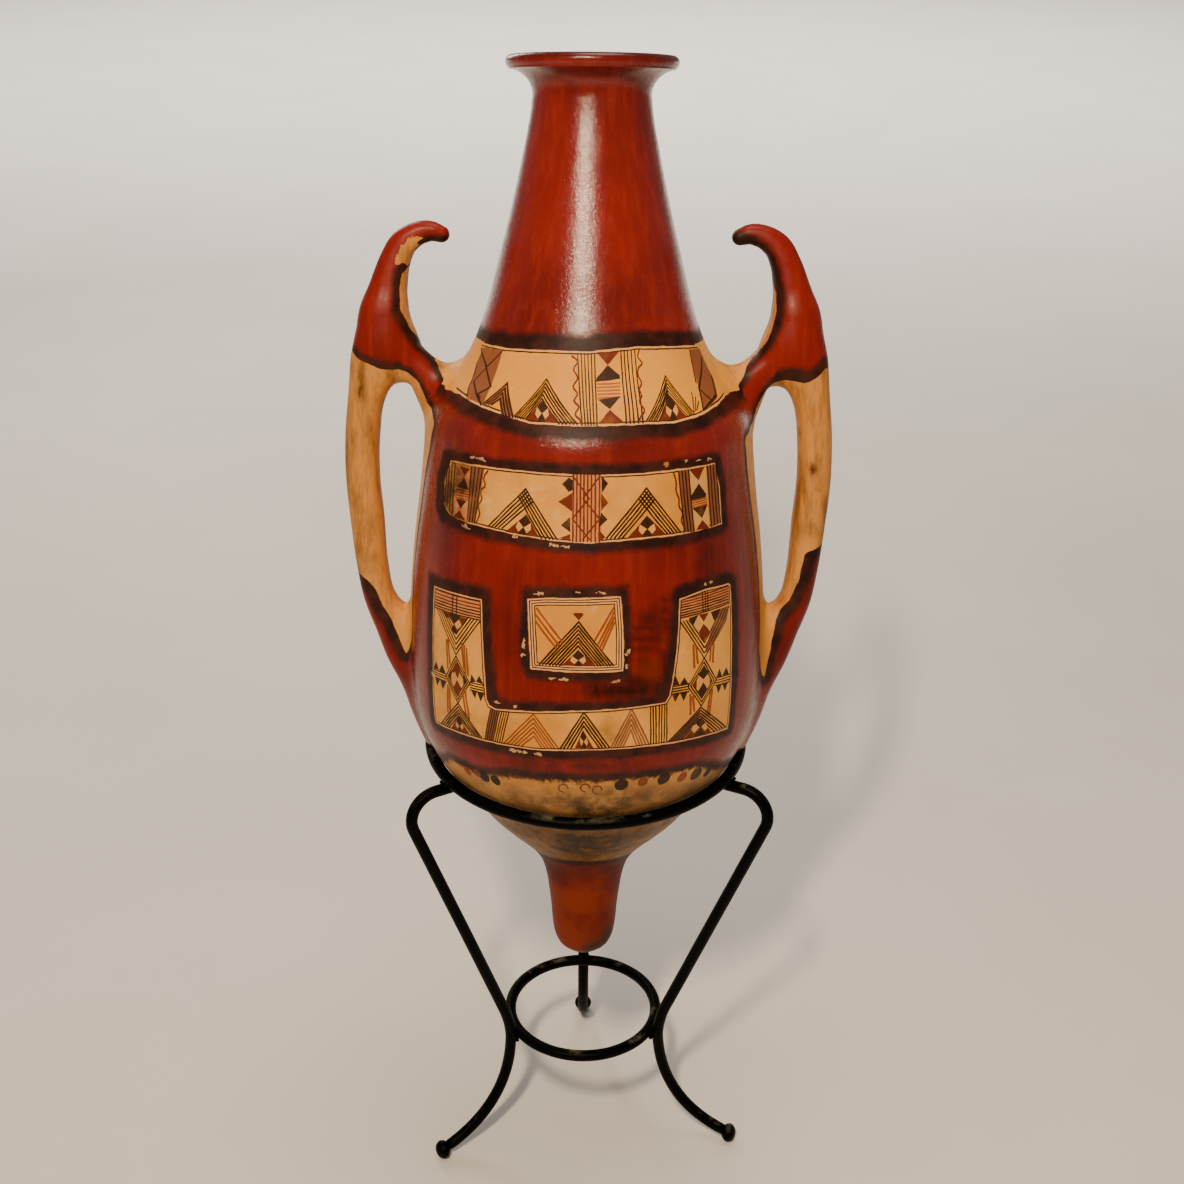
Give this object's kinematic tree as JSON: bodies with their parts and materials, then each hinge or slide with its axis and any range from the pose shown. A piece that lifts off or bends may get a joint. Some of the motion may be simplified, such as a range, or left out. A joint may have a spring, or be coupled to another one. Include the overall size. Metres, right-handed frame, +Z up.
{
  "type": "footed jar",
  "caption": "Tall hollow clay amphora with a flared mouth, horned side handles and a pointed toe, leaning back a little in a welded iron stand.",
  "frame": {"origin": "on the floor under the middle of the whole object's bounding box", "axes": "+Z up, -Y towards the jar's painted front, +X to the right as the front is seen"},
  "size_m": [0.3876, 0.3108, 0.953],
  "materials": {
    "painted_clay": "burnished earthenware with a dark red slip, ochre panels and black and red line ornament",
    "blackened_iron": "blackened round iron bar, rubbed to a dull grey green on its upper sides"
  },
  "bodies": {
    "root": {"amphora": "painted_clay", "upper_ring": "blackened_iron", "lower_ring": "blackened_iron", "leg_left": "blackened_iron", "leg_right": "blackened_iron", "leg_rear": "blackened_iron"}
  },
  "joints": []
}
